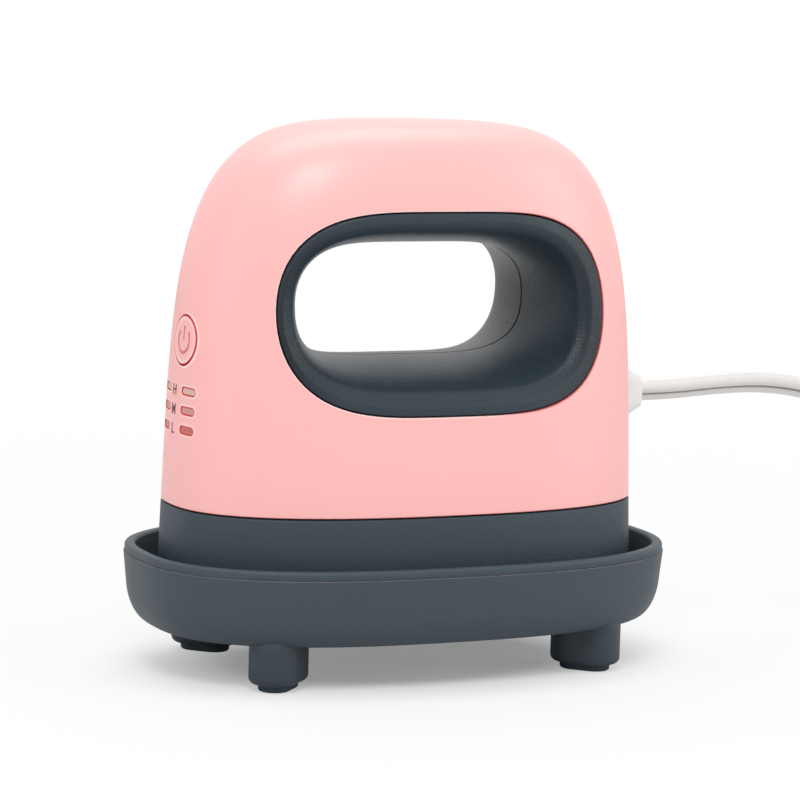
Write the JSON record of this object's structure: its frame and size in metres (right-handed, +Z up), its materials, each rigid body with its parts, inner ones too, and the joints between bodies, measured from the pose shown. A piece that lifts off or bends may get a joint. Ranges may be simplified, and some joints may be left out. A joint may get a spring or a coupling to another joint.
{
  "type": "mini handheld heat press",
  "caption": "Small corded heat press with a see-through grip, a power button, heat level lights and a flat heating plate, resting in a footed tray.",
  "frame": {"origin": "on the surface under the feet, below the middle of the rest tray", "axes": "+Z up, +X towards the end where the power cord leaves, -Y towards the front"},
  "size_m": [0.3289, 0.0861, 0.1321],
  "materials": {
    "slate_plastic": "fine satin mould texture",
    "foot_rubber": "matt",
    "silicone": "matt",
    "pink_plastic": "satin with a very fine texture",
    "grip_plastic": "soft gloss with a fine leather-like grain",
    "coated_plate": "ceramic non-stick coating on cast metal",
    "heater_steel": "drawn steel tube",
    "screw_steel": "zinc plated",
    "shield_steel": "rolled sheet",
    "insulation": "pressed fibre",
    "spacer_plastic": "heat resistant moulding",
    "sensor_glass": "sleeved bead",
    "button_plastic": "satin",
    "black_plastic": "moulded",
    "lens_high": "translucent",
    "lens_medium": "translucent",
    "lens_low": "translucent",
    "led_plastic": "clear resin",
    "board_green": "solder mask",
    "white_plastic": "moulded",
    "wire_sleeve": "sleeved",
    "terminal_plastic": "moulded",
    "fuse_ceramic": "ceramic with metal caps",
    "capacitor_plastic": "moulded box",
    "capacitor_can": "shrink sleeve",
    "heat_sink": "plain",
    "wire_red": "insulated",
    "wire_white": "insulated",
    "wire_brown": "insulated",
    "cord_white": "soft moulded",
    "plug_white": "soft moulded",
    "blade_brass": "nickel plated"
  },
  "bodies": {
    "stand": {"stand_tray": "slate_plastic", "stand_foot_pads": "foot_rubber", "stand_support_pads": "silicone", "power_cord_lead": "cord_white", "power_cord_coil": "cord_white", "power_cord_tail": "cord_white", "plug_body": "plug_white", "plug_blades": "blade_brass"},
    "press": {"upper_shell": "pink_plastic", "base_skirt": "slate_plastic", "handle_sleeve_front": "grip_plastic", "handle_sleeve_rear": "grip_plastic", "heating_plate": "coated_plate", "heating_element": "heater_steel", "heater_pins": "screw_steel", "heat_shield": "shield_steel", "insulation_sheet": "insulation", "plate_spacers": "spacer_plastic", "plate_screws": "screw_steel", "case_screws": "screw_steel", "thermistor": "sensor_glass", "thermal_fuse": "shield_steel", "sensor_clips": "shield_steel", "tact_switch_body": "black_plastic", "level_lens_high": "lens_high", "level_lens_medium": "lens_medium", "level_lens_low": "lens_low", "indicator_leds": "led_plastic", "control_board": "board_green", "control_board_screws": "screw_steel", "control_chip": "black_plastic", "board_connectors": "white_plastic", "control_harness": "wire_sleeve", "power_board": "board_green", "power_board_screws": "screw_steel", "mains_terminal": "terminal_plastic", "board_fuse": "fuse_ceramic", "film_capacitor": "capacitor_plastic", "electrolytic_capacitors": "capacitor_can", "heater_triac": "black_plastic", "triac_heat_sink": "heat_sink", "heater_wires": "wire_red", "sensor_wires": "wire_white", "cord_strain_relief": "cord_white", "inner_cord": "cord_white", "cord_clamp": "black_plastic", "cord_clamp_screws": "screw_steel", "mains_cores": "wire_brown"},
    "power_button": {"power_button": "button_plastic", "tact_switch_plunger": "black_plastic"}
  },
  "joints": [
    {"name": "press_lift", "type": "slide", "parent": "stand", "child": "press", "axis": [0, 0, 1], "range_m": [0, 0.06], "deforming": ["power_cord_lead"]},
    {"name": "power_button_press", "type": "slide", "parent": "press", "child": "power_button", "axis": [1, 0, 0], "range_m": [0, 0.0005], "stiffness_N_per_m": 4000}
  ]
}
